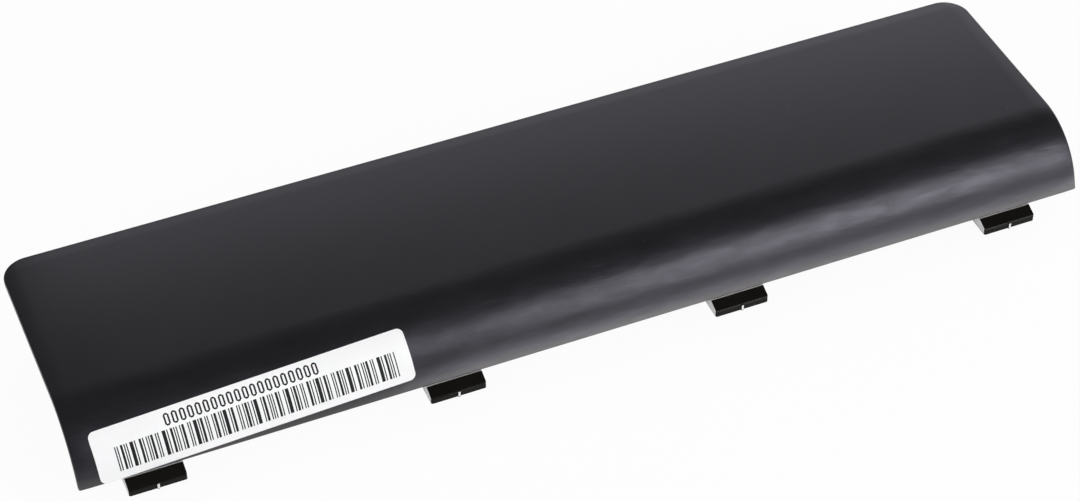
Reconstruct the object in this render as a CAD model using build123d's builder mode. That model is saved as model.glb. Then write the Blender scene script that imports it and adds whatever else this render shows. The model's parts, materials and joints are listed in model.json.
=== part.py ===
from build123d import *
import os
from collections import namedtuple
from math import cos, radians, sin, tan

# Laptop battery pack: a thin curled cover over a tray that holds six round cells and their circuit board.
# Millimetres. +X runs along the pack, -Y is the curled side with the tabs, +Z is up, and it rests on z = 0.

# Cells: two rows of three, all facing +X
cell_diameter = 18.4
cell_length = 65.0
columns = 3
cell_clearance = 0.15
row_gap = 0.2
link_gap = 1.0
cap_diameter = 8.4
cap_height = 0.5
ring_inner_diameter = 9.2
ring_outer_diameter = 16.0
ring_thickness = 0.25

# Nickel strips and the papers outside them
strip_thickness = 0.2
strip_height = 8.0
strip_corner = 2.0
tail_height = 3.0
solder_overlap = 5.0
paper_thickness = 0.25
paper_margin = 2.0
paper_corner = 2.5
end_clearance = 0.1

# Case: the tray below the cover
case_wall = 1.0
far_wall = 1.2
case_chamfer = 1.0
rib_thickness = 1.0
rib_height = 4.0
rib_from_cell_end = 12.5
weld_gap = 0.05

# Tabs that stand out from under the rim and slope down to a rounded front with a small rib
tab_count = 4
tab_width = 11.1
tab_reach = 2.44
tab_slope = 23.0
tab_front_height = 1.32
tab_gap = 0.1
tab_corner = 0.4
tab_edge = 0.5
tab_rib_radius = 0.3
tab_inset_left = 5.4
tab_inset_right = 7.9

# Latch pockets in the far wall
latch_offset = 62.0
latch_width = 14.0
latch_height = 4.5
latch_depth = 2.0
latch_drop = 6.7
latch_wall = 0.9

# Cover: a flat plate whose near side curls down to a straight rim
cover_wall = 1.4
end_overhang = 2.95
flange_overhang = 3.3
curve_radius = 14.2
curve_angle = 72.0
rim_run = 2.3
corner_radius = 5.3
cover_chamfer = 0.3
tongue_thickness = 0.9
tongue_height = 1.6
tongue_clearance = 0.1
tongue_end_gap = 3.0

# Label on the curve, turned a little
label_length = 61.15
label_height = 10.2
label_thickness = 0.12
label_glue = 0.02
label_turn = 2.17
label_corner = 1.2
label_from_end = 4.2
label_from_rim = 0.05

# Circuit board, standing between the far cells and the far wall
board_bay = 5.2
board_gap = 0.9
board_thickness = 1.0
board_clearance = 0.1
board_lift = 0.3
board_headroom = 2.9
board_lead = 8.5
board_end_gap = 2.5
board_corner = 0.8
sheet_thickness = 0.25
sheet_margin = 0.8
notch_margin = 0.7

# Socket for the laptop's blades
contact_count = 7
contact_pitch = 2.5
slot_width = 1.4
socket_side_wall = 1.6
socket_height = 8.0
socket_roof = 2.0
socket_back_wall = 1.1
socket_recess = 0.2
socket_inset = 3.5
window_clearance = 0.15
contact_thickness = 0.25
contact_clearance = 0.05
contact_sill = 0.8
contact_arm = 2.7
pin_width = 0.5
pin_height = 1.2

# Parts in a row on the board's far face, each after its own gap from the one before
Chip = namedtuple("Chip", "gap length height thickness leg_pairs")
Block = namedtuple("Block", "gap length height thickness end_cap")
Stack = namedtuple("Stack", "gap length height thickness count pitch")
chips = {
    "gauge_chip": Chip(gap=10.2, length=9.6, height=4.4, thickness=1.1, leg_pairs=10),
    "protection_chip": Chip(gap=8.2, length=5.0, height=4.4, thickness=1.1, leg_pairs=6),
    "charge_transistor": Chip(gap=4.5, length=4.9, height=3.9, thickness=1.5, leg_pairs=4),
    "discharge_transistor": Chip(gap=2.6, length=4.9, height=3.9, thickness=1.5, leg_pairs=4),
}
blocks = {
    "thermal_fuse": Block(gap=5.4, length=5.4, height=3.2, thickness=1.4, end_cap=1.0),
    "shunt_resistor": Block(gap=3.6, length=6.4, height=3.2, thickness=0.7, end_cap=0.9),
}
capacitors = Stack(gap=4.5, length=2.0, height=1.25, thickness=1.0, count=6, pitch=2.0)
leg_width = 0.4
leg_reach = 0.9
leg_thickness = 0.2
cap_relief = 0.1
board_row_z = 9.0
thermistor_x = 41.5
thermistor_z = 9.0
thermistor_diameter = 2.4
thermistor_gap = 0.1

# Heights
cell_radius = cell_diameter / 2
case_round = cell_radius + cell_clearance + case_wall
cell_axis_z = case_round
pack_height = case_wall + cell_diameter + 2 * cell_clearance + cover_wall
ceiling_z = pack_height - cover_wall
curve_centre_z = pack_height - curve_radius

# Depths, from the near tabs to the far flange
turn = radians(curve_angle)
row_pitch = cell_diameter + row_gap
flat_depth = row_pitch + cell_radius + board_bay + far_wall + flange_overhang
cover_depth = flat_depth + curve_radius * sin(turn) + rim_run * cos(turn)
rim_y = -(cover_depth - tab_reach - tab_rib_radius) / 2
tab_front_y = rim_y - tab_reach
far_y = rim_y + cover_depth
curve_y = far_y - flat_depth
near_row_y = curve_y
far_row_y = near_row_y + row_pitch
case_near_y = near_row_y - case_round
case_far_y = far_y - flange_overhang
bay_far_y = case_far_y - far_wall
board_near_y = far_row_y + cell_radius + board_gap
board_far_y = board_near_y + board_thickness

# Lengths, from the middle outwards
stack_length = columns * cell_length + (columns - 1) * link_gap
cavity_length = stack_length + 2 * (strip_thickness + paper_thickness + end_clearance)
case_length = cavity_length + 2 * case_wall
cover_length = case_length + 2 * end_overhang
cell_starts = [-stack_length / 2 + column * (cell_length + link_gap) for column in range(columns)]
link_starts = [start - link_gap for start in cell_starts[1:]]
board_left_x = link_starts[0] - board_lead
board_right_x = stack_length / 2 - board_end_gap
board_middle_x = (board_left_x + board_right_x) / 2
board_length = board_right_x - board_left_x
board_row = {**chips, **blocks, "chip_capacitors": capacitors}
board_row_xs = {}
row_end_x = board_left_x
for name, piece in board_row.items():
    board_row_xs[name] = row_end_x + piece.gap + piece.length / 2
    row_end_x += piece.gap + piece.length
board_bottom_z = case_wall + board_lift
board_height = ceiling_z - board_headroom - board_bottom_z
tail_bottom_z = cell_axis_z - strip_height / 2
tab_pitch = (case_length - tab_inset_left - tab_inset_right - tab_width) / (tab_count - 1)
tab_first_x = -case_length / 2 + tab_inset_left + tab_width / 2
tab_xs = [tab_first_x + number * tab_pitch for number in range(tab_count)]
socket_length = (contact_count - 1) * contact_pitch + slot_width + 2 * socket_side_wall
socket_x = board_right_x - socket_inset - socket_length / 2
socket_depth = case_far_y - socket_recess - board_far_y
contact_first_x = socket_x - (contact_count - 1) / 2 * contact_pitch
contact_xs = [contact_first_x + number * contact_pitch for number in range(contact_count)]

Section = namedtuple("Section", "far start middle end rim")


def cover_section(inset, past_rim=0):
    """Corner points (y, z) of the cover's section, moved inwards by inset and drawn on past its rim."""
    radius = curve_radius - inset
    run = rim_run + past_rim
    middle = (curve_y - radius * sin(turn / 2), curve_centre_z + radius * cos(turn / 2))
    end = (curve_y - radius * sin(turn), curve_centre_z + radius * cos(turn))
    rim = (end[0] - run * cos(turn), end[1] - run * sin(turn))
    return Section((far_y, pack_height - inset), (curve_y, pack_height - inset), middle, end, rim)


def slope_at(distance):
    """Slope of the cover's outer face, in radians, at a distance up its surface from the rim."""
    return min(turn, turn - (distance - rim_run) / curve_radius)


def surface_at(distance):
    """Point (y, z) on the cover's outer face at a distance up its surface from the rim."""
    slope = slope_at(distance)
    below_curve = max(0.0, rim_run - distance)
    y = curve_y - curve_radius * sin(slope) - below_curve * cos(turn)
    z = curve_centre_z + curve_radius * cos(slope) - below_curve * sin(turn)
    return y, z


def facing_far(y):
    """Plane across the pack at y that looks towards the far side, with its own y axis up."""
    return Plane(origin=(0, y, 0), x_dir=(-1, 0, 0), z_dir=(0, 1, 0))


def facing_near(y):
    """Plane across the pack at y that looks towards the tabs, with its own y axis up."""
    return Plane(origin=(0, y, 0), x_dir=(1, 0, 0), z_dir=(0, -1, 0))


def save(builder, name):
    """Name a finished piece and write it to its own file."""
    builder.part.label = name
    export_step(builder.part, f"parts/{name}.step")


os.makedirs("parts", exist_ok=True)
outer = cover_section(0)
inner = cover_section(cover_wall)
seat = cover_section(cover_wall + weld_gap, tab_gap)
lip = cover_section(0, tab_gap)

# Outer cover, with a tongue that drops inside the case's far wall
with BuildPart() as outer_cover:
    with BuildSketch(Plane.YZ):
        with BuildLine():
            Line(outer.far, outer.start)
            ThreePointArc(outer.start, outer.middle, outer.end)
            Polyline(outer.end, outer.rim, inner.rim, inner.end)
            ThreePointArc(inner.end, inner.middle, inner.start)
            Polyline(inner.start, inner.far, outer.far)
        make_face()
    extrude(amount=cover_length / 2, both=True)
    fillet(outer_cover.edges().filter_by(Axis.Z).group_by(Axis.Y)[-1], radius=corner_radius)
    top_edges = outer_cover.faces().sort_by(Axis.Z)[-1].edges().sort_by(Axis.Y)[1:]
    end_arcs = outer_cover.edges().filter_by(GeomType.CIRCLE).filter_by(
        lambda edge: abs(edge.radius - curve_radius) < cover_wall / 2
    )
    rim_face = outer_cover.faces().filter_by(GeomType.PLANE).sort_by(Axis.Y)[0]
    rim_ends = rim_face.edges().filter_by(Axis.X, reverse=True)
    chamfer(top_edges + end_arcs + rim_ends, length=cover_chamfer)
    with BuildSketch(Plane.XY.offset(ceiling_z)):
        with Locations((0, bay_far_y - tongue_clearance)):
            Rectangle(cavity_length - 2 * tongue_end_gap, tongue_thickness, align=(Align.CENTER, Align.MAX))
    extrude(amount=-tongue_height)
save(outer_cover, "outer_cover")

# Inner case: tray with tabs, cell cradles, board slots, latch pockets and the socket's window
with BuildPart() as inner_case:
    with BuildSketch(Plane.YZ):
        with BuildLine():
            Polyline((near_row_y, 0), (case_far_y, 0), (case_far_y, pack_height))
            Polyline((case_far_y, pack_height), (case_near_y, pack_height), (case_near_y, cell_axis_z))
            RadiusArc((case_near_y, cell_axis_z), (near_row_y, 0), -case_round)
        make_face()
    extrude(amount=case_length / 2, both=True)
    end_faces = inner_case.faces().filter_by(Axis.X)
    end_edges = end_faces.edges().sort_by(Axis.Z)[:-2]
    bottom_far_edge = inner_case.edges().filter_by(Axis.X).group_by(Axis.Z)[0].sort_by(Axis.Y)[-1]
    chamfer(end_edges + [bottom_far_edge], length=case_chamfer)

    tab_ridge_y, tab_ridge_z = lip.rim
    tab_front_z = tab_ridge_z - (tab_ridge_y - tab_front_y) * tan(radians(tab_slope))
    tab_bottom_z = tab_front_z - tab_front_height
    tab_fronts = [(x, tab_front_y) for x in tab_xs]
    with BuildSketch(Plane.XY.offset(tab_bottom_z)):
        with Locations(*tab_fronts):
            Rectangle(tab_width, near_row_y - tab_front_y, align=(Align.CENTER, Align.MIN))
        fillet(vertices().group_by(Axis.Y)[0], radius=tab_corner)
    extrude(amount=tab_ridge_z - tab_bottom_z)
    with BuildSketch(Plane.YZ):
        with BuildLine():
            Polyline(
                (tab_ridge_y, tab_ridge_z),
                (tab_front_y, tab_front_z),
                (tab_front_y, tab_bottom_z),
                (tab_front_y - tab_reach, tab_bottom_z),
                (tab_front_y - tab_reach, pack_height),
                (tab_ridge_y, pack_height),
                close=True,
            )
        make_face()
        fillet(vertices().sort_by_distance((tab_front_y, tab_front_z))[0], radius=tab_edge)
    extrude(amount=case_length / 2, both=True, mode=Mode.SUBTRACT)
    with BuildSketch(Plane.XY.offset(tab_bottom_z)):
        with Locations(*tab_fronts):
            Circle(tab_rib_radius)
    extrude(amount=tab_front_height)

    with BuildSketch(Plane.YZ):
        with BuildLine():
            cavity_near_y = case_near_y + case_wall
            Polyline((near_row_y, case_wall), (bay_far_y, case_wall), (bay_far_y, pack_height))
            Polyline((bay_far_y, pack_height), (cavity_near_y, pack_height), (cavity_near_y, cell_axis_z))
            RadiusArc((cavity_near_y, cell_axis_z), (near_row_y, case_wall), case_wall - case_round)
        make_face()
    extrude(amount=cavity_length / 2, both=True, mode=Mode.SUBTRACT)

    rib_middles = [
        x
        for start in cell_starts
        for x in (start + rib_from_cell_end, start + cell_length - rib_from_cell_end)
    ]
    with BuildSketch(*[Plane.YZ.offset(x - rib_thickness / 2) for x in rib_middles]):
        with Locations((near_row_y, case_wall)):
            Rectangle(bay_far_y - near_row_y, rib_height, align=Align.MIN)
        with Locations((near_row_y, cell_axis_z), (far_row_y, cell_axis_z)):
            Circle(cell_radius + cell_clearance, mode=Mode.SUBTRACT)
        with Locations((board_near_y - board_clearance, board_bottom_z)):
            slot = board_thickness + 2 * board_clearance
            Rectangle(slot, rib_height, align=Align.MIN, mode=Mode.SUBTRACT)
    extrude(amount=rib_thickness)

    latch_places = [(-latch_offset, ceiling_z - latch_drop), (latch_offset, ceiling_z - latch_drop)]
    with BuildSketch(facing_near(bay_far_y)):
        with Locations(*latch_places):
            Rectangle(latch_width + 2 * latch_wall, latch_height + 2 * latch_wall)
    extrude(amount=latch_depth + latch_wall - far_wall)
    with BuildSketch(facing_near(case_far_y)):
        with Locations(*latch_places):
            Rectangle(latch_width, latch_height)
    extrude(amount=latch_depth, mode=Mode.SUBTRACT)

    with BuildSketch(facing_near(case_far_y)):
        with Locations((socket_x, 0)):
            window_height = socket_recess + socket_height + window_clearance
            window_width = socket_length + 2 * window_clearance
            Rectangle(window_width, window_height, align=(Align.CENTER, Align.MIN))
    extrude(amount=case_far_y - board_far_y, mode=Mode.SUBTRACT)

    with BuildSketch(Plane.YZ):
        with BuildLine():
            Line(seat.far, seat.start)
            ThreePointArc(seat.start, seat.middle, seat.end)
            Polyline(
                seat.end,
                seat.rim,
                lip.rim,
                (tab_ridge_y, pack_height + cover_wall),
                (far_y, pack_height + cover_wall),
                seat.far,
            )
        make_face()
    extrude(amount=cover_length / 2, both=True, mode=Mode.SUBTRACT)
save(inner_case, "inner_case")

# Label: a thin layer that follows the cover's outer face
with BuildPart() as barcode_label:
    under = cover_section(-label_glue)
    over = cover_section(-label_glue - label_thickness)
    with BuildSketch(Plane.YZ):
        with BuildLine():
            Line(under.far, under.start)
            ThreePointArc(under.start, under.middle, under.end)
            Polyline(under.end, under.rim, over.rim, over.end)
            ThreePointArc(over.end, over.middle, over.start)
            Polyline(over.start, over.far, under.far)
        make_face()
    extrude(amount=cover_length / 2, both=True)
    middle_distance = label_from_rim + label_height / 2
    middle_y, middle_z = surface_at(middle_distance)
    slope = slope_at(middle_distance)
    label_plane = Plane(origin=(0, middle_y, middle_z), x_dir=(1, 0, 0), z_dir=(0, -sin(slope), cos(slope)))
    lean = radians(label_turn)
    outline = []
    for along, up in ((0, 0), (label_length, 0), (label_length, label_height), (0, label_height)):
        x = -cover_length / 2 + label_from_end + along * cos(lean) - up * sin(lean)
        y, z = surface_at(label_from_rim + along * sin(lean) + up * cos(lean))
        outline.append((x, (y - middle_y) * cos(slope) + (z - middle_z) * sin(slope)))
    with BuildSketch(label_plane):
        with BuildLine():
            Polyline(*outline, close=True)
        make_face()
        fillet(vertices(), radius=label_corner)
    extrude(amount=curve_radius / 2, both=True, mode=Mode.INTERSECT)
save(barcode_label, "barcode_label")

# Cells: sealed cans, each with a raised positive cap
cell_places = [(start, row_y) for row_y in (near_row_y, far_row_y) for start in cell_starts]
shoulder = cell_length - cap_height
for number, (start, row_y) in enumerate(cell_places, 1):
    cell_plane = Plane(origin=(start, row_y, cell_axis_z), x_dir=(1, 0, 0), z_dir=(0, -1, 0))
    with BuildPart() as cell:
        with BuildSketch(cell_plane):
            with BuildLine():
                Polyline(
                    (0, 0),
                    (0, cell_radius),
                    (shoulder, cell_radius),
                    (shoulder, cap_diameter / 2),
                    (cell_length, cap_diameter / 2),
                    (cell_length, 0),
                    close=True,
                )
            make_face()
        revolve(axis=Axis(cell_plane.origin, cell_plane.x_dir))
    save(cell, f"cell_{number}")

# Paper rings round the positive caps
with BuildPart() as insulating_rings:
    with BuildSketch(*[Plane.YZ.offset(start + shoulder) for start in cell_starts]):
        with Locations((near_row_y, cell_axis_z), (far_row_y, cell_axis_z)):
            Circle(ring_outer_diameter / 2)
            Circle(ring_inner_diameter / 2, mode=Mode.SUBTRACT)
    extrude(amount=ring_thickness)
save(insulating_rings, "insulating_rings")

# Nickel strips: a plate across both rows, and a tail that turns onto the board
rows_middle_y = (near_row_y + far_row_y) / 2
plate_length = row_pitch + strip_height
tail_from_y = far_row_y + strip_height / 2 - strip_corner
end_strips = {
    "negative_end_strip": (-stack_length / 2 - strip_thickness, -stack_length / 2 - strip_thickness,
                           board_left_x + solder_overlap),
    "positive_end_strip": (stack_length / 2, board_right_x - solder_overlap,
                           stack_length / 2 + strip_thickness),
}
for name, (plate_x, foot_from_x, foot_to_x) in end_strips.items():
    with BuildPart() as end_strip:
        with BuildSketch(Plane.YZ.offset(plate_x)):
            with Locations((rows_middle_y, cell_axis_z)):
                RectangleRounded(plate_length, strip_height, strip_corner)
            with Locations((tail_from_y, tail_bottom_z)):
                Rectangle(board_near_y - tail_from_y, tail_height, align=Align.MIN)
        extrude(amount=strip_thickness)
        with BuildSketch(facing_near(board_near_y)):
            with Locations((foot_from_x, tail_bottom_z)):
                Rectangle(foot_to_x - foot_from_x, tail_height, align=Align.MIN)
        extrude(amount=strip_thickness)
    save(end_strip, name)

for number, start in enumerate(link_starts, 1):
    with BuildPart() as series_link:
        with BuildSketch(facing_far(rows_middle_y - plate_length / 2)):
            with BuildLine():
                low_z = cell_axis_z - strip_height / 2
                high_z = cell_axis_z + strip_height / 2
                left_x = -(start + strip_thickness / 2)
                right_x = -(start + link_gap - strip_thickness / 2)
                fold_z = high_z + (link_gap - strip_thickness) / 2
                Line((left_x, low_z), (left_x, high_z))
                ThreePointArc((left_x, high_z), ((left_x + right_x) / 2, fold_z), (right_x, high_z))
                Line((right_x, high_z), (right_x, low_z))
            trace(line_width=strip_thickness)
        extrude(amount=plate_length)
        with BuildSketch(Plane.YZ.offset(start + link_gap - strip_thickness)):
            with Locations((tail_from_y, tail_bottom_z)):
                Rectangle(board_near_y - tail_from_y, tail_height, align=Align.MIN)
        extrude(amount=strip_thickness)
        with BuildSketch(facing_near(board_near_y)):
            with Locations((start + link_gap - strip_thickness, tail_bottom_z)):
                Rectangle(solder_overlap, tail_height, align=Align.MIN)
        extrude(amount=strip_thickness)
    save(series_link, f"series_link_{number}")

# Insulating papers outside the end strips
paper_length = plate_length + 2 * paper_margin
paper_height = strip_height + 2 * paper_margin
for name, paper_x in (
    ("end_paper_left", -stack_length / 2 - strip_thickness - paper_thickness),
    ("end_paper_right", stack_length / 2 + strip_thickness),
):
    with BuildPart() as end_paper:
        with BuildSketch(Plane.YZ.offset(paper_x)):
            with Locations((rows_middle_y, cell_axis_z)):
                RectangleRounded(paper_length, paper_height, paper_corner)
        extrude(amount=paper_thickness)
    save(end_paper, name)

# Circuit board, standing in the slots of the case's ribs
with BuildPart() as circuit_board:
    with BuildSketch(facing_near(board_far_y)):
        with Locations((board_middle_x, board_bottom_z + board_height / 2)):
            RectangleRounded(board_length, board_height, board_corner)
    extrude(amount=board_thickness)
save(circuit_board, "circuit_board")

# Insulating sheet on the board's near face, notched round the strips and open at the thermistor
with BuildPart() as board_insulator:
    sheet_bottom_z = case_wall + rib_height + sheet_margin
    sheet_top_z = board_bottom_z + board_height - sheet_margin
    notch_top_z = tail_bottom_z + tail_height + notch_margin
    notch_width = solder_overlap + 2 * notch_margin
    notch_starts = [board_left_x, board_right_x - solder_overlap]
    notch_starts += [start + link_gap - strip_thickness for start in link_starts]
    with BuildSketch(facing_near(board_near_y)):
        with Locations((board_middle_x, sheet_bottom_z)):
            sheet_length = board_length - 2 * sheet_margin
            Rectangle(sheet_length, sheet_top_z - sheet_bottom_z, align=(Align.CENTER, Align.MIN))
        with Locations(*[(x - notch_margin, sheet_bottom_z) for x in notch_starts]):
            Rectangle(notch_width, notch_top_z - sheet_bottom_z, align=Align.MIN, mode=Mode.SUBTRACT)
        with Locations((board_left_x + thermistor_x, board_bottom_z + thermistor_z)):
            Circle(thermistor_diameter / 2 + notch_margin, mode=Mode.SUBTRACT)
    extrude(amount=sheet_thickness)
save(board_insulator, "board_insulator")

# Thermistor: a disc on the board's near face, close to the middle far cell
with BuildPart() as thermistor:
    with BuildSketch(facing_near(board_near_y)):
        with Locations((board_left_x + thermistor_x, board_bottom_z + thermistor_z)):
            Circle(thermistor_diameter / 2)
    extrude(amount=board_gap - thermistor_gap)
save(thermistor, "thermistor")

# Chips with rows of legs, on the board's far face
for name, chip in chips.items():
    chip_x = -board_row_xs[name]
    chip_z = board_bottom_z + board_row_z
    with BuildPart() as package:
        with BuildSketch(facing_far(board_far_y)):
            with Locations((chip_x, chip_z)):
                with GridLocations(chip.length / chip.leg_pairs, 0, chip.leg_pairs, 1):
                    Rectangle(leg_width, chip.height + 2 * leg_reach)
        extrude(amount=leg_thickness)
        with BuildSketch(facing_far(board_far_y + leg_thickness / 2)):
            with Locations((chip_x, chip_z)):
                Rectangle(chip.length, chip.height)
        extrude(amount=chip.thickness - leg_thickness / 2)
    save(package, name)

# Fuse and shunt, each with a cap at both ends
for name, block in blocks.items():
    block_x = -board_row_xs[name]
    block_z = board_bottom_z + board_row_z
    with BuildPart() as body:
        with BuildSketch(facing_far(board_far_y)):
            with Locations((block_x, block_z)):
                with GridLocations(block.length - block.end_cap, 0, 2, 1):
                    Rectangle(block.end_cap, block.height)
        extrude(amount=block.thickness)
        with BuildSketch(facing_far(board_far_y)):
            with Locations((block_x, block_z)):
                Rectangle(block.length - block.end_cap, block.height - 2 * cap_relief)
        extrude(amount=block.thickness - cap_relief)
    save(body, name)

# Row of small capacitors
with BuildPart() as chip_capacitors:
    with BuildSketch(facing_far(board_far_y)):
        with Locations((-board_row_xs["chip_capacitors"], board_bottom_z + board_row_z)):
            with GridLocations(0, capacitors.pitch, 1, capacitors.count):
                Rectangle(capacitors.length, capacitors.height)
    extrude(amount=capacitors.thickness)
save(chip_capacitors, "chip_capacitors")

# Socket: a block with slots that open downwards and to the far side
with BuildPart() as connector_housing:
    with BuildSketch(facing_far(board_far_y)):
        with Locations((-socket_x, socket_recess)):
            Rectangle(socket_length, socket_height, align=(Align.CENTER, Align.MIN))
    extrude(amount=socket_depth)
    slot_height = socket_height - socket_roof
    with BuildSketch(facing_far(board_far_y + socket_back_wall)):
        with Locations(*[(-x, socket_recess) for x in contact_xs]):
            Rectangle(slot_width, slot_height, align=(Align.CENTER, Align.MIN))
    extrude(amount=socket_depth - socket_back_wall, mode=Mode.SUBTRACT)
    contact_bottom_z = socket_recess + contact_sill
    contact_height = slot_height - contact_sill - contact_clearance
    pin_z = contact_bottom_z + contact_height / 2
    with BuildSketch(facing_far(board_far_y)):
        with Locations(*[(-x, pin_z) for x in contact_xs]):
            Rectangle(pin_width + 2 * contact_clearance, pin_height + 2 * contact_clearance)
    extrude(amount=socket_back_wall, mode=Mode.SUBTRACT)
save(connector_housing, "connector_housing")

# Fork contacts: two arms along each slot's walls, and a pin through the back wall to the board
for number, contact_x in enumerate(contact_xs, 1):
    back_y = board_far_y + socket_back_wall + contact_thickness / 2
    arm_offset = slot_width / 2 - contact_clearance - contact_thickness / 2
    with BuildPart() as contact:
        with BuildSketch(Plane.XY.offset(contact_bottom_z)):
            with BuildLine():
                Polyline(
                    (contact_x - arm_offset, back_y + contact_arm),
                    (contact_x - arm_offset, back_y),
                    (contact_x + arm_offset, back_y),
                    (contact_x + arm_offset, back_y + contact_arm),
                )
            trace(line_width=contact_thickness)
        extrude(amount=contact_height)
        with BuildSketch(facing_far(board_far_y)):
            with Locations((-contact_x, pin_z)):
                Rectangle(pin_width, pin_height)
        extrude(amount=socket_back_wall)
    save(contact, f"connector_contact_{number}")
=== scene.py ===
import json
import math

import bmesh
import bpy
from mathutils import Euler, Matrix, Vector


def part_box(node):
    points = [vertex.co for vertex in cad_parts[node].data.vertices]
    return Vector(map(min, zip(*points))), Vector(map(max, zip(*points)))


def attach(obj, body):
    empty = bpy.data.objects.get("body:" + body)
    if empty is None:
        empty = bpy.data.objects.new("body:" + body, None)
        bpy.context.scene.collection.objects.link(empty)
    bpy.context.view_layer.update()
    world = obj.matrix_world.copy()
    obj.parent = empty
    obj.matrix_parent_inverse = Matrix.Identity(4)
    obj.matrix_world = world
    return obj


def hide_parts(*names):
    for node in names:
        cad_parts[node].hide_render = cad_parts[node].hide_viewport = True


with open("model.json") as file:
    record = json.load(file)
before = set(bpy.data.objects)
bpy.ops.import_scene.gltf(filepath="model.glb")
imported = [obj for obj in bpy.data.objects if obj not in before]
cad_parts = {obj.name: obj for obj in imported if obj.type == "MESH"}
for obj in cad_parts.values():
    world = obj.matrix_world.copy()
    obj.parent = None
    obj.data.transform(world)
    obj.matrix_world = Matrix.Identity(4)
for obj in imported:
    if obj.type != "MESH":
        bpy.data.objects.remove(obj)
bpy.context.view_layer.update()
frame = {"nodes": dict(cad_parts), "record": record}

MM = 0.001
SAME_SPOT = 0.002 * MM
CUT_MERGE = 0.02 * MM
CUT_SLACK = 0.0001 * MM
SMOOTH_BELOW = math.radians(30.0)
SHARP_ABOVE = math.radians(40.0)
FLAT_WITHIN = math.radians(0.5)

# Cover, as its section shows it: a flat plate, a curl and a short straight rim
COVER_WALL = 1.4 * MM
CURVE_Y = -10.272 * MM
CURVE_Z = 6.9 * MM
CURVE_RADIUS = 14.2 * MM
CURVE_TURN = math.radians(72.0)
RIM_RUN = 2.3 * MM
CURVE_STEPS = 72
FAR_CORNER_RADIUS = 5.3 * MM
FAR_CORNER_STEPS = 20
COVER_EDGE = 0.3 * MM
COVER_EDGE_STEPS = 4
RIM_BOTTOM_Z = 9.1 * MM
# Height of the painted highlight along the cover's lower rim
RIM_HIGHLIGHT_HEIGHT = 2.5 * MM
CURL_FADE = 4.0 * MM
ROLL_OFF = 3.2 * MM
ROLL_OFF_DROP = 0.16 * MM
ROLL_OFF_STEPS = 6
TONGUE_HALF_LENGTH = 96.05 * MM
TONGUE_NEAR_Y = 21.73 * MM
TONGUE_FAR_Y = 22.63 * MM
TONGUE_BOTTOM_Z = 18.1 * MM

# Sticker, measured along the pack and up the cover's outside from its rim
LABEL_LEFT = -98.8 * MM
LABEL_UP = 0.05 * MM
LABEL_TURN = math.radians(2.17)
LABEL_LENGTH = 61.15 * MM
LABEL_HEIGHT = 10.2 * MM
LABEL_CORNER = 1.2 * MM
LABEL_CORNER_STEPS = 8
LABEL_THICKNESS = 0.12 * MM
LABEL_GLUE = 0.02 * MM
LABEL_BEND_STEP = 0.3 * MM

# Print on the sticker, from the sticker's own lower left corner: plain bars and a row of noughts
BARS_LEFT = 3.9 * MM
BARS_RIGHT = 58.9 * MM
BARS_LOW = 1.52 * MM
BARS_HIGH = 6.3 * MM
BAR_MODULE = 0.22 * MM
BAR_WIDTHS = (1, 1, 2, 1, 1, 3, 1, 2, 1)
BAR_GAPS = (1, 2, 1, 1, 2, 1, 3)
NOUGHTS = 20
NOUGHTS_LEFT = 14.0 * MM
NOUGHTS_LOW = 6.88 * MM
NOUGHTS_HIGH = 9.2 * MM
NOUGHT_PITCH = 1.51 * MM
NOUGHT_WIDTH = 1.08 * MM
NOUGHT_STROKE = 0.34 * MM

# Tray, and the tabs on it
CASE_EDGE = 0.18 * MM
CASE_EDGE_STEPS = 2
CASE_SHORTEST_SOFT_EDGE = 0.9 * MM
CAVITY_HALF_LENGTH = 99.06 * MM
CAVITY_NEAR_Y = -19.63 * MM
CAVITY_FAR_Y = 22.74 * MM
CAVITY_BOTTOM_Z = 0.99 * MM
TAB_ROOT_Y = -20.7 * MM
TAB_COUNT = 4
TAB_FIRST_X = -89.1 * MM
TAB_PITCH = 58.567 * MM
TAB_HALF_WIDTH = 5.55 * MM
TAB_BOTTOM_Z = 6.63 * MM
TAB_RIB_RADIUS = 0.3 * MM
TAB_SIDE_SLACK = 0.01 * MM
# Height of the painted shade along the lower edge of a tab's bare faces
TAB_PAINTED_SHADE_BAND = 0.45 * MM


class Value:
    """One output of a shader node. Sums on it add Math nodes."""

    def __init__(self, sheet, output):
        self.sheet = sheet
        self.output = output

    def other(self, name):
        return Value(self.sheet, self.output.node.outputs[name])

    def math(self, operation, first, second):
        return self.sheet.node("ShaderNodeMath", {"operation": operation}, {0: first, 1: second})

    def __add__(self, right):
        return self.math("ADD", self, right)

    def __radd__(self, left):
        return self.math("ADD", left, self)

    def __sub__(self, right):
        return self.math("SUBTRACT", self, right)

    def __rsub__(self, left):
        return self.math("SUBTRACT", left, self)

    def __mul__(self, right):
        return self.math("MULTIPLY", self, right)

    def __rmul__(self, left):
        return self.math("MULTIPLY", left, self)

    def __gt__(self, right):
        return self.math("GREATER_THAN", self, right)

    def at_least(self, right):
        return self.math("MAXIMUM", self, right)

    def at_most(self, right):
        return self.math("MINIMUM", self, right)


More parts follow.
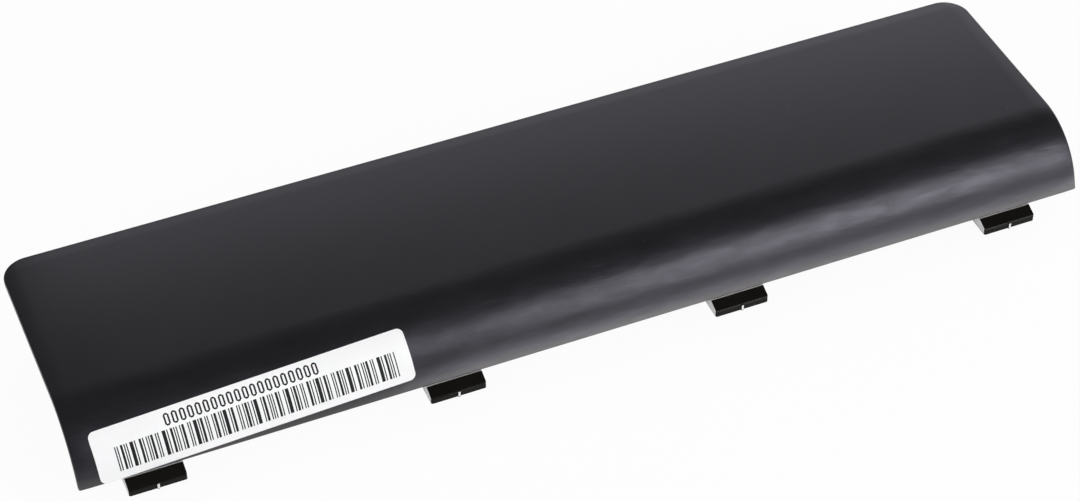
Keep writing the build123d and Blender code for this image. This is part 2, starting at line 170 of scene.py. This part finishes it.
class NodeSheet:
    """The shader nodes of one finish, lamp or world."""

    def __init__(self, tree):
        self.tree = tree
        tree.nodes.clear()

    def node(self, kind, settings=None, sockets=None, output=0):
        made = self.tree.nodes.new(kind)
        for name, value in (settings or {}).items():
            setattr(made, name, value)
        for key, value in (sockets or {}).items():
            if isinstance(value, Value):
                self.tree.links.new(value.output, made.inputs[key])
            else:
                made.inputs[key].default_value = value
        if not made.outputs:
            return None
        return Value(self, made.outputs[output])

    def place(self, turn=(0.0, 0.0, 0.0), scale=(1.0, 1.0, 1.0)):
        spot = self.node("ShaderNodeTexCoord", output="Object")
        return self.node("ShaderNodeMapping", {}, {"Vector": spot, "Rotation": Euler(turn), "Scale": scale})

    def axis(self, name):
        spot = self.node("ShaderNodeTexCoord", output="Object")
        return self.node("ShaderNodeSeparateXYZ", {}, {0: spot}, output=name)

    def noise(self, size, detail=2.0, rough=0.5, spot=None):
        spot = spot or self.place()
        return self.node(
            "ShaderNodeTexNoise",
            {},
            {"Vector": spot, "Scale": 1.0 / size, "Detail": detail, "Roughness": rough},
        )

    def cells(self, size):
        return self.node("ShaderNodeTexVoronoi", {}, {"Vector": self.place(), "Scale": 1.0 / size})

    def rise(self, value, start, end):
        """Goes smoothly from 0 to 1 as the value goes from start to end."""
        return self.node(
            "ShaderNodeMapRange",
            {"interpolation_type": "SMOOTHSTEP"},
            {"Value": value, "From Min": start, "From Max": end},
        )

    def mix(self, share, first, second):
        return self.node("ShaderNodeMix", {"data_type": "RGBA"}, {0: share, 6: first, 7: second}, output=2)

    def bump(self, height, depth, strength=1.0, under=None):
        sockets = {"Height": height, "Distance": depth, "Strength": strength}
        if under:
            sockets["Normal"] = under
        return self.node("ShaderNodeBump", {}, sockets)


def colour(red, green, blue):
    return (red, green, blue, 1.0)


def finish(name, make):
    """Makes one finish: make gets its node sheet and gives the shader's sockets."""
    material = bpy.data.materials.new(name)
    material.use_nodes = True
    sheet = NodeSheet(material.node_tree)
    surface = sheet.node("ShaderNodeBsdfPrincipled", {}, make(sheet))
    sheet.node("ShaderNodeOutputMaterial", {}, {"Surface": surface})
    return material


def cover_plastic(sheet):
    """Dark satin plastic with a fine moulded grain, hairline scratches, a little dust and a painted
    highlight along its lower rim.
    """
    grain = sheet.noise(0.32 * MM, 2.0, 0.6)
    cloud = sheet.noise(14.0 * MM, 3.0, 0.55)
    along = sheet.noise(1.0, 1.0, 0.5, sheet.place((0.0, 0.0, 0.5), (70.0, 2600.0, 900.0)))
    across = sheet.noise(1.0, 1.0, 0.5, sheet.place((0.0, 0.0, -0.9), (90.0, 2900.0, 900.0)))
    patches = sheet.rise(sheet.noise(11.0 * MM, 1.0), 0.52, 0.66)
    hairs = (sheet.rise(along, 0.73, 0.77) + sheet.rise(across, 0.74, 0.78)).at_most(1.0) * patches
    dust = sheet.cells(3.4 * MM)
    chosen = sheet.noise(2.6 * MM, 0.0) > 0.56
    specks = (1.0 - sheet.rise(dust, 0.018, 0.034)) * chosen
    base = sheet.mix(cloud, colour(0.0072, 0.0070, 0.0080), colour(0.0100, 0.0097, 0.0110))
    # Painted highlight: the lower band of the rim is lightened towards pale grey, more towards the right
    # end, in place of the bright floor's reflection there.
    painted_rim_highlight = 1.0 - sheet.rise(sheet.axis("Z"), RIM_BOTTOM_Z, RIM_BOTTOM_Z + RIM_HIGHLIGHT_HEIGHT)
    highlight_strength = 0.6 + sheet.rise(sheet.axis("X"), -60.0 * MM, -20.0 * MM) * 0.4
    rim = sheet.mix(painted_rim_highlight * highlight_strength * (0.75 + cloud * 0.5), base, colour(0.076, 0.0735, 0.064))
    scuffed = sheet.mix(hairs * 0.5, rim, colour(0.05, 0.05, 0.054))
    dusty = sheet.mix(specks * 0.6, scuffed, colour(0.24, 0.24, 0.25))
    mottle = sheet.noise(1.0, 4.0, 0.72, sheet.place((0.0, 0.0, 0.0), (150.0, 420.0, 420.0)))
    curl = 1.0 - sheet.rise(sheet.axis("Y"), CURVE_Y - CURL_FADE, CURVE_Y)
    rough = 0.335 + grain * 0.06 + cloud * 0.05 + hairs * 0.08 + (mottle - 0.5) * curl * 0.24
    peel = sheet.noise(1.0, 3.0, 0.65, sheet.place((0.0, 0.0, 0.0), (520.0, 1300.0, 1300.0)))
    relief = grain - hairs * 0.6
    sink = sheet.noise(1.0, 2.0, 0.55, sheet.place((0.0, 0.0, 0.0), (55.0, 130.0, 130.0)))
    waves = sheet.bump((sink + peel * 0.14) * curl, 0.26 * MM, 1.0)
    return {
        "Base Color": dusty,
        "Roughness": rough,
        "Specular IOR Level": 0.62,
        "Specular Tint": colour(0.885, 0.86, 1.0),
        "Normal": sheet.bump(relief, 0.018 * MM, 0.5, waves),
    }


def case_plastic(sheet):
    """Black glossy plastic of the tray."""
    flow = sheet.noise(6.0 * MM, 2.0)
    fine = sheet.noise(0.5 * MM, 2.0)
    base = sheet.mix(flow, colour(0.0050, 0.0047, 0.0040), colour(0.0080, 0.0074, 0.0062))
    return {
        "Base Color": base,
        "Roughness": 0.12 + flow * 0.05 + fine * 0.03,
        "Specular IOR Level": 0.10,
        "Normal": sheet.bump(fine, 0.008 * MM, 0.4),
    }


def tab_bare(sheet):
    """Pale bare plastic where a tab was cut, with painted shade along its lower edge."""
    cloud = sheet.noise(0.7 * MM, 2.0)
    # Painted shade: the bare faces go grey towards their lower edge.
    low = 1.0 - sheet.rise(sheet.axis("Z"), TAB_BOTTOM_Z, TAB_BOTTOM_Z + TAB_PAINTED_SHADE_BAND)
    base = sheet.mix(cloud, colour(0.74, 0.74, 0.73), colour(0.90, 0.90, 0.89))
    return {
        "Base Color": sheet.mix(low * 0.75, base, colour(0.16, 0.16, 0.16)),
        "Roughness": 0.4 + cloud * 0.15,
        "Normal": sheet.bump(cloud, 0.02 * MM, 0.4),
    }


def label_paper(sheet):
    """Smooth white sticker stock with a faint fibre."""
    fibre = sheet.noise(1.0, 3.0, 0.6, sheet.place((0.0, 0.0, 0.3), (900.0, 3200.0, 1800.0)))
    cloud = sheet.noise(4.0 * MM, 2.0)
    base = sheet.mix(fibre * 0.5 + cloud * 0.5, colour(0.90, 0.902, 0.905), colour(0.945, 0.945, 0.948))
    return {
        "Base Color": base,
        "Roughness": 0.42 + fibre * 0.12,
        "Normal": sheet.bump(fibre, 0.01 * MM, 0.3),
    }


def label_ink(sheet):
    """Black thermal print, a little uneven."""
    speckle = sheet.noise(0.12 * MM, 2.0)
    base = sheet.mix(sheet.rise(speckle, 0.55, 0.8), colour(0.006, 0.006, 0.007), colour(0.03, 0.03, 0.033))
    return {"Base Color": base, "Roughness": 0.4 + speckle * 0.2, "Specular IOR Level": 0.25}


def cell_sleeve(sheet):
    """Heat-shrunk film round a cell."""
    ripple = sheet.noise(3.0 * MM, 2.0)
    base = sheet.mix(ripple, colour(0.035, 0.19, 0.27), colour(0.055, 0.25, 0.33))
    return {
        "Base Color": base,
        "Roughness": 0.22 + ripple * 0.12,
        "Normal": sheet.bump(ripple, 0.05 * MM, 0.4),
    }


def ring_paper(sheet):
    """Thin white paper washers."""
    fibre = sheet.noise(0.4 * MM, 3.0)
    base = sheet.mix(fibre, colour(0.74, 0.73, 0.68), colour(0.84, 0.83, 0.79))
    return {"Base Color": base, "Roughness": 0.75 + fibre * 0.1}


def rolled_metal(dark, light, roughness):
    """A maker for bare rolled metal, with lines along its roll."""

    def make(sheet):
        lines = sheet.noise(1.0, 2.0, 0.5, sheet.place((0.0, 0.0, 0.0), (400.0, 9000.0, 9000.0)))
        return {
            "Base Color": sheet.mix(lines, dark, light),
            "Metallic": 1.0,
            "Roughness": roughness + lines * 0.16,
        }

    return make


def insulating_paper(sheet):
    """Grey-green pressed paper."""
    fibre = sheet.noise(0.6 * MM, 3.0, 0.6)
    base = sheet.mix(fibre, colour(0.30, 0.38, 0.34), colour(0.42, 0.50, 0.46))
    return {
        "Base Color": base,
        "Roughness": 0.7 + fibre * 0.15,
        "Normal": sheet.bump(fibre, 0.03 * MM, 0.5),
    }


def board_laminate(sheet):
    """Green lacquer over a woven glass board."""
    weave = sheet.node(
        "ShaderNodeTexChecker",
        {},
        {"Vector": sheet.place(), "Scale": 1800.0, "Color1": colour(0, 0, 0), "Color2": colour(1, 1, 1)},
        output="Fac",
    )
    cloud = sheet.noise(2.5 * MM, 2.0)
    base = sheet.mix(weave * 0.3 + cloud * 0.7, colour(0.012, 0.11, 0.045), colour(0.03, 0.18, 0.08))
    return {"Base Color": base, "Roughness": 0.28 + cloud * 0.1}


def moulded(dark, light, roughness):
    """A maker for small moulded or baked parts with a fine grain."""

    def make(sheet):
        grain = sheet.noise(0.25 * MM, 2.0)
        cloud = sheet.noise(2.0 * MM, 2.0)
        return {
            "Base Color": sheet.mix(grain * 0.5 + cloud * 0.5, dark, light),
            "Roughness": roughness + grain * 0.1,
            "Normal": sheet.bump(grain, 0.01 * MM, 0.5),
        }

    return make


FINISHES = {
    "cover_plastic": finish("cover_plastic_satin", cover_plastic),
    "case_plastic": finish("case_plastic_gloss", case_plastic),
    "label_paper": finish("label_paper_white", label_paper),
    "cell_sleeve": finish("cell_sleeve_film", cell_sleeve),
    "ring_paper": finish("ring_paper_white", ring_paper),
    "nickel_strip": finish(
        "nickel_rolled",
        rolled_metal(colour(0.50, 0.48, 0.44), colour(0.64, 0.62, 0.58), 0.26),
    ),
    "insulating_paper": finish("insulating_paper_pressed", insulating_paper),
    "board_laminate": finish("board_lacquer", board_laminate),
    "chip_resin": finish(
        "chip_resin_black",
        moulded(colour(0.014, 0.014, 0.014), colour(0.026, 0.026, 0.026), 0.5),
    ),
    "fuse_body": finish(
        "fuse_ceramic",
        moulded(colour(0.66, 0.64, 0.58), colour(0.78, 0.76, 0.70), 0.3),
    ),
    "shunt_alloy": finish(
        "shunt_alloy_bare",
        rolled_metal(colour(0.34, 0.31, 0.27), colour(0.46, 0.43, 0.39), 0.3),
    ),
    "capacitor_ceramic": finish(
        "capacitor_tan",
        moulded(colour(0.36, 0.26, 0.16), colour(0.48, 0.36, 0.24), 0.35),
    ),
    "thermistor_coating": finish(
        "thermistor_dip",
        moulded(colour(0.04, 0.04, 0.05), colour(0.06, 0.06, 0.07), 0.35),
    ),
    "socket_plastic": finish(
        "socket_black",
        moulded(colour(0.012, 0.012, 0.013), colour(0.022, 0.022, 0.023), 0.42),
    ),
    "contact_metal": finish(
        "contact_gold",
        rolled_metal(colour(0.74, 0.54, 0.22), colour(0.86, 0.68, 0.34), 0.18),
    ),
}
INK = finish("label_ink_black", label_ink)
TAB_BARE = finish("tab_bare_pale", tab_bare)


def piece(bm, name, finishes, node):
    """Turns a bmesh into a piece that stands for a CAD node and takes the named slot's finish."""
    mesh = bpy.data.meshes.new(name)
    bm.to_mesh(mesh)
    bm.free()
    made = bpy.data.objects.new(name, mesh)
    bpy.context.scene.collection.objects.link(made)
    for each in finishes:
        mesh.materials.append(each)
    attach(made, "root")
    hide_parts(node)
    return made


def soften(made, width, steps):
    """Rounds a piece's weighted edges and keeps its flat faces flat."""
    bevel = made.modifiers.new("soft_edges", "BEVEL")
    bevel.width = width
    bevel.segments = steps
    bevel.profile = 0.5
    bevel.limit_method = "WEIGHT"
    bevel.harden_normals = True
    bevel.use_clamp_overlap = False


def round_edges(bm, edges, radius, steps):
    """Rounds a bmesh's edges for good."""
    bmesh.ops.bevel(
        bm,
        geom=edges,
        offset=radius,
        offset_type="OFFSET",
        segments=steps,
        profile=0.5,
        affect="EDGES",
        material=-1,
    )


def cut(bm, faces, point, across):
    """Splits the faces along a plane."""
    edges = {edge for face in faces for edge in face.edges}
    verts = {vert for face in faces for vert in face.verts}
    geom = list(verts) + list(edges) + list(faces)
    bmesh.ops.bisect_plane(bm, geom=geom, dist=CUT_SLACK, plane_co=point, plane_no=across)


def smooth_but_edges(bm):
    """Shades a bmesh smooth, apart from its sharp edges."""
    for face in bm.faces:
        face.smooth = True
    for edge in bm.edges:
        edge.smooth = len(edge.link_faces) != 2 or edge.calc_face_angle() < SMOOTH_BELOW


# Cover
def grow(bm, vert, step):
    """Draws a line from a point and gives the line's end."""
    made = bmesh.ops.extrude_vert_indiv(bm, verts=[vert])
    grown = made["verts"][0]
    grown.co += Vector(step)
    return grown


def cover_line(bm, left, far_y, top_z, inset):
    """Draws the section's line at one depth below the outside, from the far edge to the rim."""
    far = bm.verts.new((left, far_y, top_z - inset))
    begin = grow(bm, far, (0.0, CURVE_Y - far_y, 0.0))
    curl = bmesh.ops.spin(
        bm,
        geom=[begin],
        cent=(left, CURVE_Y, CURVE_Z),
        axis=(1.0, 0.0, 0.0),
        angle=CURVE_TURN,
        steps=CURVE_STEPS,
        use_duplicate=False,
    )
    end = [each for each in curl["geom_last"] if isinstance(each, bmesh.types.BMVert)][0]
    grow(bm, end, (0.0, -RIM_RUN * math.cos(CURVE_TURN), -RIM_RUN * math.sin(CURVE_TURN)))


def roll_off_edges(bm, low, high):
    """Lets the plate fall away a little towards its far edge and its two ends."""
    for count in range(ROLL_OFF_STEPS):
        inset = ROLL_OFF * (count + 1) / ROLL_OFF_STEPS
        cut(bm, bm.faces[:], (0.0, high.y - inset, 0.0), (0.0, 1.0, 0.0))
        cut(bm, bm.faces[:], (low.x + inset, 0.0, 0.0), (1.0, 0.0, 0.0))
        cut(bm, bm.faces[:], (high.x - inset, 0.0, 0.0), (1.0, 0.0, 0.0))
    bmesh.ops.remove_doubles(bm, verts=bm.verts[:], dist=CUT_MERGE)
    corner_x = high.x - FAR_CORNER_RADIUS
    corner_y = high.y - FAR_CORNER_RADIUS
    for vert in bm.verts:
        past = Vector((max(abs(vert.co.x) - corner_x, 0.0), max(vert.co.y - corner_y, 0.0)))
        share = max(past.length - FAR_CORNER_RADIUS + ROLL_OFF, 0.0) / ROLL_OFF
        lean = min(CURVE_TURN, math.atan2(max(CURVE_Y - vert.co.y, 0.0), vert.co.z - CURVE_Z))
        drop = ROLL_OFF_DROP * share * share
        vert.co += Vector((0.0, math.sin(lean), -math.cos(lean))) * drop


def make_cover():
    """The curled plate, with its rounded far corners, its roll-off and the tongue under it."""
    low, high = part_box("outer_cover")
    bm = bmesh.new()
    cover_line(bm, low.x, high.y, high.z, 0.0)
    cover_line(bm, low.x, high.y, high.z, COVER_WALL)
    bmesh.ops.bridge_loops(bm, edges=bm.edges[:])
    grown = bmesh.ops.extrude_face_region(bm, geom=bm.faces[:])
    moved = [each for each in grown["geom"] if isinstance(each, bmesh.types.BMVert)]
    bmesh.ops.translate(bm, verts=moved, vec=(high.x - low.x, 0.0, 0.0))
    bmesh.ops.recalc_face_normals(bm, faces=bm.faces[:])
    upright = [
        edge
        for edge in bm.edges
        if abs(edge.verts[0].co.z - edge.verts[1].co.z) > COVER_WALL * 0.9
        and min(vert.co.y for vert in edge.verts) > high.y - COVER_WALL
    ]
    round_edges(bm, upright, FAR_CORNER_RADIUS, FAR_CORNER_STEPS)
    sharp = [edge for edge in bm.edges if edge.calc_face_angle() > SHARP_ABOVE]
    round_edges(bm, sharp, COVER_EDGE, COVER_EDGE_STEPS)
    roll_off_edges(bm, low, high)
    ceiling = high.z - COVER_WALL
    tongue = bmesh.ops.create_cube(bm, size=1.0)["verts"]
    size = (2 * TONGUE_HALF_LENGTH, TONGUE_FAR_Y - TONGUE_NEAR_Y, ceiling - TONGUE_BOTTOM_Z)
    bmesh.ops.scale(bm, vec=size, verts=tongue)
    middle = (0.0, (TONGUE_FAR_Y + TONGUE_NEAR_Y) / 2, (ceiling + TONGUE_BOTTOM_Z) / 2)
    bmesh.ops.translate(bm, vec=middle, verts=tongue)
    smooth_but_edges(bm)
    made = piece(bm, "cover_shell", [FINISHES["cover_plastic"]], "outer_cover")
    flat = made.modifiers.new("flat_faces", "WEIGHTED_NORMAL")
    flat.mode = "FACE_AREA"
    flat.keep_sharp = True


# Sticker
def on_cover(along, up, lift):
    """The point on the cover's outside at a distance up from the rim, lifted off the surface."""
    end_y = CURVE_Y - CURVE_RADIUS * math.sin(CURVE_TURN)
    end_z = CURVE_Z + CURVE_RADIUS * math.cos(CURVE_TURN)
    if up < RIM_RUN:
        down = RIM_RUN - up
        y = end_y - down * math.cos(CURVE_TURN) - lift * math.sin(CURVE_TURN)
        z = end_z - down * math.sin(CURVE_TURN) + lift * math.cos(CURVE_TURN)
        return Vector((along, y, z))
    turn = CURVE_TURN - (up - RIM_RUN) / CURVE_RADIUS
    reach = CURVE_RADIUS + lift
    return Vector((along, CURVE_Y - reach * math.sin(turn), CURVE_Z + reach * math.cos(turn)))


def bar_spans():
    """Start and end of each printed bar along the sticker."""
    spans = []
    start = BARS_LEFT
    count = 0
    while True:
        width = BAR_WIDTHS[count % len(BAR_WIDTHS)] * BAR_MODULE
        if start + width > BARS_RIGHT:
            return spans
        spans.append((start, start + width))
        start += width + BAR_GAPS[count % len(BAR_GAPS)] * BAR_MODULE
        count += 1


def nought_spans():
    """Start and end of each printed nought along the sticker."""
    starts = [NOUGHTS_LEFT + count * NOUGHT_PITCH for count in range(NOUGHTS)]
    return [(start, start + NOUGHT_WIDTH) for start in starts]


def faces_between(bm, low, high):
    """The faces of one strip along the flat sticker."""
    return [face for face in bm.faces if low < face.calc_center_median().y < high]


def clip_corners(bm, start, end):
    """Cuts a nought's outer corners across."""
    for x, to_x in ((start, 1.0), (end, -1.0)):
        for y, to_y in ((NOUGHTS_LOW, 1.0), (NOUGHTS_HIGH, -1.0)):
            inner = Vector((x + to_x * NOUGHT_STROKE, y + to_y * NOUGHT_STROKE, 0.0))
            corner = [
                face
                for face in faces_between(bm, min(y, inner.y), max(y, inner.y))
                if min(x, inner.x) < face.calc_center_median().x < max(x, inner.x)
            ]
            cut(bm, corner, (x + to_x * NOUGHT_STROKE, y, 0.0), (to_x, to_y, 0.0))


def printed(point, bars, noughts):
    """Whether a point of the flat sticker lies on a bar or on a nought's stroke."""
    if BARS_LOW < point.y < BARS_HIGH:
        return any(start < point.x < end for start, end in bars)
    if NOUGHTS_LOW < point.y < NOUGHTS_HIGH:
        for start, end in noughts:
            in_x = min(point.x - start, end - point.x)
            in_y = min(point.y - NOUGHTS_LOW, NOUGHTS_HIGH - point.y)
            if in_x > 0:
                return in_x + in_y > NOUGHT_STROKE and min(in_x, in_y) < NOUGHT_STROKE
    return False


def make_label():
    """The sticker: cut flat along its print, turned askew, bent on to the cover and thickened."""
    bm = bmesh.new()
    bmesh.ops.create_grid(bm, x_segments=1, y_segments=1, size=0.5)
    bmesh.ops.translate(bm, vec=(0.5, 0.5, 0.0), verts=bm.verts[:])
    bmesh.ops.scale(bm, vec=(LABEL_LENGTH, LABEL_HEIGHT, 1.0), verts=bm.verts[:])
    bmesh.ops.bevel(
        bm,
        geom=bm.verts[:],
        offset=LABEL_CORNER,
        offset_type="OFFSET",
        segments=LABEL_CORNER_STEPS,
        profile=0.5,
        affect="VERTICES",
        material=-1,
    )
    bars = bar_spans()
    noughts = nought_spans()
    heights = (BARS_LOW, BARS_HIGH, NOUGHTS_LOW, NOUGHTS_HIGH)
    for height in heights:
        cut(bm, bm.faces[:], (0.0, height, 0.0), (0.0, 1.0, 0.0))
    for start, end in bars:
        for stop in (start, end):
            cut(bm, faces_between(bm, BARS_LOW, BARS_HIGH), (stop, 0.0, 0.0), (1.0, 0.0, 0.0))
    for start, end in noughts:
        for stop in (start, start + NOUGHT_STROKE, end - NOUGHT_STROKE, end):
            cut(bm, faces_between(bm, NOUGHTS_LOW, NOUGHTS_HIGH), (stop, 0.0, 0.0), (1.0, 0.0, 0.0))
    for height in (NOUGHTS_LOW + NOUGHT_STROKE, NOUGHTS_HIGH - NOUGHT_STROKE):
        cut(bm, faces_between(bm, NOUGHTS_LOW, NOUGHTS_HIGH), (0.0, height, 0.0), (0.0, 1.0, 0.0))
    for start, end in noughts:
        clip_corners(bm, start, end)
    for face in bm.faces:
        face.material_index = int(printed(face.calc_center_median(), bars, noughts))
    askew = Matrix.Rotation(LABEL_TURN, 3, "Z")
    bmesh.ops.rotate(bm, verts=bm.verts[:], cent=(0.0, 0.0, 0.0), matrix=askew)
    bmesh.ops.translate(bm, vec=(LABEL_LEFT, LABEL_UP, 0.0), verts=bm.verts[:])
    lowest = min(vert.co.y for vert in bm.verts)
    highest = max(vert.co.y for vert in bm.verts)
    bends = int((highest - lowest) / LABEL_BEND_STEP)
    for count in range(1, bends + 1):
        cut(bm, bm.faces[:], (0.0, lowest + count * LABEL_BEND_STEP, 0.0), (0.0, 1.0, 0.0))
    for vert in bm.verts:
        vert.co = on_cover(vert.co.x, vert.co.y, LABEL_GLUE + LABEL_THICKNESS)
    bmesh.ops.recalc_face_normals(bm, faces=bm.faces[:])
    bm.normal_update()
    if bm.faces[:][0].normal.z < 0:
        bmesh.ops.reverse_faces(bm, faces=bm.faces[:])
    bmesh.ops.solidify(bm, geom=bm.faces[:], thickness=LABEL_THICKNESS)
    smooth_but_edges(bm)
    piece(bm, "sticker", [FINISHES["label_paper"], INK], "barcode_label")


# Tray
def is_bare(face):
    """Whether a face is an end of a tab, or on the small rib of its front."""
    if min(vert.co.y for vert in face.verts) > TAB_ROOT_Y:
        return False
    for count in range(TAB_COUNT):
        middle = TAB_FIRST_X + count * TAB_PITCH
        offsets = [abs(vert.co.x - middle) for vert in face.verts]
        if max(offsets) < 0.75 * TAB_RIB_RADIUS:
            return True
        if all(abs(offset - TAB_HALF_WIDTH) < TAB_SIDE_SLACK for offset in offsets):
            return True
    return False


def is_inside(vert):
    """Whether a corner of the tray lies in its cavity or on the cavity's walls."""
    along = abs(vert.co.x) < CAVITY_HALF_LENGTH
    return along and CAVITY_NEAR_Y < vert.co.y < CAVITY_FAR_Y and vert.co.z > CAVITY_BOTTOM_Z


def make_case():
    """The tray, as the solid has it, with its outer edges softened and its tab ends bare."""
    bm = bmesh.new()
    bm.from_mesh(frame["nodes"]["inner_case"].data)
    bmesh.ops.remove_doubles(bm, verts=bm.verts[:], dist=SAME_SPOT)
    bmesh.ops.dissolve_limit(bm, angle_limit=FLAT_WITHIN, verts=bm.verts[:], edges=bm.edges[:])
    weight = bm.edges.layers.float.new("bevel_weight_edge")
    smooth_but_edges(bm)
    for face in bm.faces:
        face.material_index = int(is_bare(face))
    for edge in bm.edges:
        on_tab = min(vert.co.y for vert in edge.verts) < TAB_ROOT_Y
        inside = all(is_inside(vert) for vert in edge.verts)
        stays_sharp = on_tab or inside or edge.calc_length() < CASE_SHORTEST_SOFT_EDGE
        if not edge.smooth and not stays_sharp:
            edge[weight] = 1.0
            edge.smooth = True
    made = piece(bm, "tray", [FINISHES["case_plastic"], TAB_BARE], "inner_case")
    soften(made, CASE_EDGE, CASE_EDGE_STEPS)


make_cover()
make_label()
make_case()

# Finishes of the CAD nodes that stay
slot_of = {each["node"]: each["material_slot"] for each in frame["record"]["subparts"]}
for node_name, node in frame["nodes"].items():
    material = FINISHES[slot_of[node_name]]
    if node.material_slots:
        for slot in node.material_slots:
            slot.material = material
    else:
        node.data.materials.append(material)


# Floor, white to the camera, which keeps a soft shadow
FLOOR_HALF_WIDTH = 3.0
FLOOR_DROP = 0.02 * MM
FLOOR_LIFT = 0.95


def make_floor():
    bm = bmesh.new()
    bmesh.ops.create_grid(bm, x_segments=1, y_segments=1, size=FLOOR_HALF_WIDTH)
    mesh = bpy.data.meshes.new("floor")
    bm.to_mesh(mesh)
    bm.free()
    floor = bpy.data.objects.new("floor", mesh)
    floor.location.z = -FLOOR_DROP
    bpy.context.scene.collection.objects.link(floor)
    material = bpy.data.materials.new("floor_white")
    material.use_nodes = True
    sheet = NodeSheet(material.node_tree)
    seen = sheet.node("ShaderNodeLightPath", output="Is Camera Ray")
    shown = (seen + seen.other("Is Glossy Ray") + seen.other("Is Transmission Ray")).at_most(1.0)
    paper = sheet.node("ShaderNodeBsdfDiffuse", {}, {"Color": colour(0.9, 0.9, 0.9)})
    glow = sheet.node("ShaderNodeEmission", {}, {"Color": colour(1.0, 1.0, 1.0), "Strength": 1.0})
    surface = sheet.node("ShaderNodeMixShader", {}, {0: shown * FLOOR_LIFT, 1: paper, 2: glow})
    sheet.node("ShaderNodeOutputMaterial", {}, {"Surface": surface})
    mesh.materials.append(material)


make_floor()


# World: pale near the horizon, brighter to the right, dark overhead
def make_world():
    world = bpy.data.worlds.new("studio")
    bpy.context.scene.world = world
    world.use_nodes = True
    sheet = NodeSheet(world.node_tree)
    way = sheet.node("ShaderNodeTexCoord", output="Generated")
    right = sheet.node("ShaderNodeSeparateXYZ", {}, {0: way}, output="X")
    up = right.other("Z")
    back = sheet.rise(right.other("Y"), -0.5, 0.1)
    middle = (right.at_most(0.5) * 2.3 - 0.09).at_least(0.0) * (0.3 + back * 0.7)
    fall = 1.0 - sheet.rise(up, 0.49, 0.66)
    horizon = (1.0 - sheet.rise(up, 0.0, 0.35)) * back
    left = (right * -0.25).at_least(0.0)
    strength = 0.04 + left + middle * fall + horizon * 0.3
    tint = colour(0.965, 0.955, 1.0)
    light = sheet.node("ShaderNodeBackground", {}, {"Color": tint, "Strength": strength})
    sheet.node("ShaderNodeOutputWorld", {}, {"Surface": light})


make_world()


# Lamps
CURL_MIDDLE = (0.0, -0.02, 0.01)


def make_lamp(name, place, aim, wide, high, glow, in_gloss=True, in_matt=True):
    """A soft box whose glow is how bright its face looks."""
    light = bpy.data.lights.new(name, "AREA")
    light.shape = "RECTANGLE"
    light.size = wide
    light.size_y = high
    light.energy = glow * math.pi * wide * high
    lamp = bpy.data.objects.new(name, light)
    lamp.location = place
    lamp.rotation_euler = (Vector(aim) - Vector(place)).to_track_quat("-Z", "Y").to_euler()
    lamp.visible_camera = False
    lamp.visible_glossy = in_gloss
    lamp.visible_diffuse = in_matt
    bpy.context.scene.collection.objects.link(lamp)


make_lamp("front_softbox", (0.402, -0.684, 0.493), CURL_MIDDLE, 0.345, 0.405, 8.4)
make_lamp("bounce_card", (0.16, -0.056, 0.0005), (0.16, -0.056, 1.0), 0.38, 0.026, 5.3, in_matt=False)
make_lamp("back_panel", (0.405, 0.056, 0.031), (0.405, 0.0, 0.031), 1.00, 0.062, 0.68, in_matt=False)
make_lamp("front_fill", (-0.80, -0.70, 0.60), CURL_MIDDLE, 0.60, 0.60, 3.85, in_gloss=False)
make_lamp("top_fill", (0.0, 0.0, 1.2), (0.0, 0.0, 0.0), 1.6, 1.6, 0.75, in_gloss=False)

# Camera, as the photo's was
CAMERA_PLACE = (-0.1536201, -0.3777708, 0.3868752)
CAMERA_LENS = 94.566
CAMERA_SENSOR = 36.0
CAMERA_LEFT_TURN = math.radians(-21.7481)
CAMERA_DOWN_TURN = math.radians(42.7653)
CAMERA_ROLL = math.radians(-1.2004)
CAMERA_NEAREST = 0.01
camera_data = bpy.data.cameras.new("camera")
camera_data.sensor_width = CAMERA_SENSOR
camera_data.lens = CAMERA_LENS
camera_data.clip_start = CAMERA_NEAREST
camera = bpy.data.objects.new("camera", camera_data)
turn = (
    Matrix.Rotation(CAMERA_LEFT_TURN, 4, "Z")
    @ Matrix.Rotation(math.pi / 2 - CAMERA_DOWN_TURN, 4, "X")
    @ Matrix.Rotation(CAMERA_ROLL, 4, "Z")
)
camera.matrix_world = Matrix.Translation(CAMERA_PLACE) @ turn
bpy.context.scene.collection.objects.link(camera)
bpy.context.scene.camera = camera
bpy.context.scene.view_settings.view_transform = "Standard"
